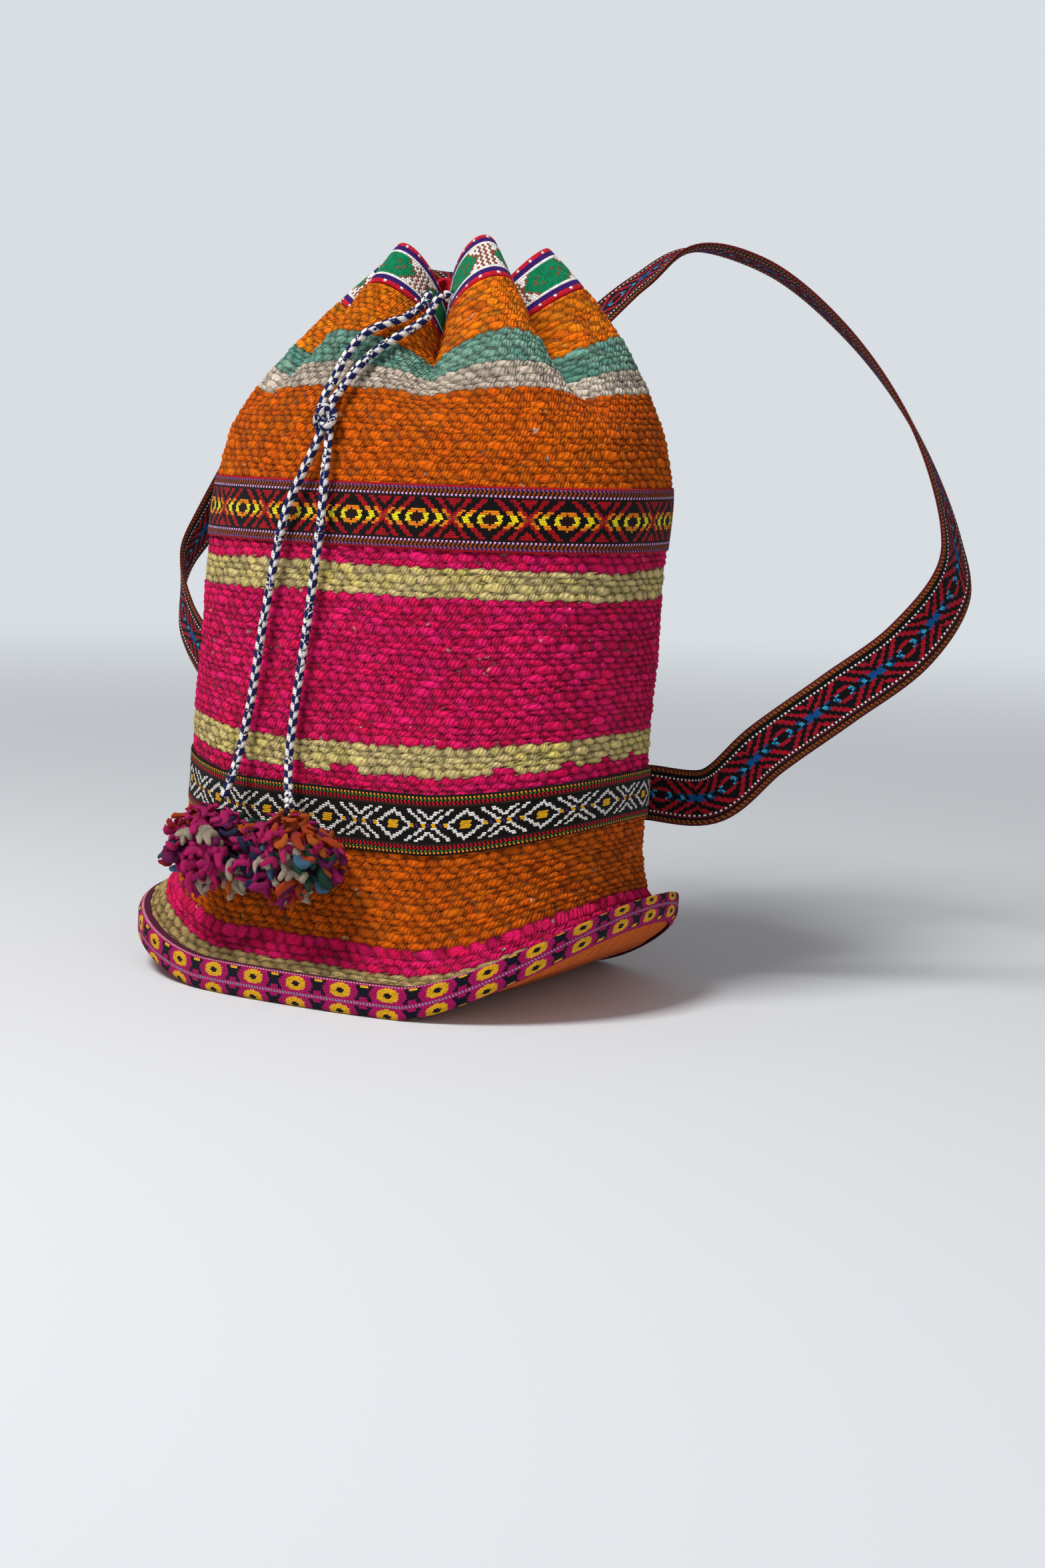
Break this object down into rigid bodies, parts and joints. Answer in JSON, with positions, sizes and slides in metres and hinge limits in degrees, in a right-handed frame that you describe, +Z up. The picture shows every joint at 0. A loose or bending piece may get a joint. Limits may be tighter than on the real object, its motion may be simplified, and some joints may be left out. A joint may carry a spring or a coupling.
{
  "type": "drawstring backpack",
  "caption": "Stuffed bucket backpack of striped woven wool with gathered drawstring mouth, patterned tapes, bound oval base, two straps and pompoms on the cord ends.",
  "frame": {"origin": "middle of the flat underside of the base", "axes": "+Z up through the mouth, -Y towards the front with the drawstring, +Y towards the straps"},
  "size_m": [0.5182, 0.2892, 0.3977],
  "materials": {
    "striped_wool": "chunky handspun weft-faced wool in orange, pink, straw and teal stripes",
    "red_tape": "warp-patterned woven tape",
    "black_tape": "warp-patterned woven tape",
    "base_wool": "weft-faced wool",
    "fuchsia_tape": "warp-patterned woven tape",
    "strap_tape": "warp-patterned woven tape",
    "white_tape": "warp-patterned woven tape",
    "braided_cord": "round braid of navy and white yarn",
    "pompom_yarn": "cut wool yarn in mixed colours"
  },
  "bodies": {
    "root": {"body_cloth": "striped_wool", "upper_tape": "red_tape", "lower_tape": "black_tape", "base_panel": "base_wool", "base_binding": "fuchsia_tape", "right_strap": "strap_tape", "left_strap": "strap_tape", "mouth_border": "white_tape", "drawstring": "braided_cord", "left_strand": "braided_cord", "right_strand": "braided_cord", "drawstring_knot": "braided_cord", "left_tail": "braided_cord", "right_tail": "braided_cord", "left_pompom": "pompom_yarn", "right_pompom": "pompom_yarn"}
  },
  "joints": []
}
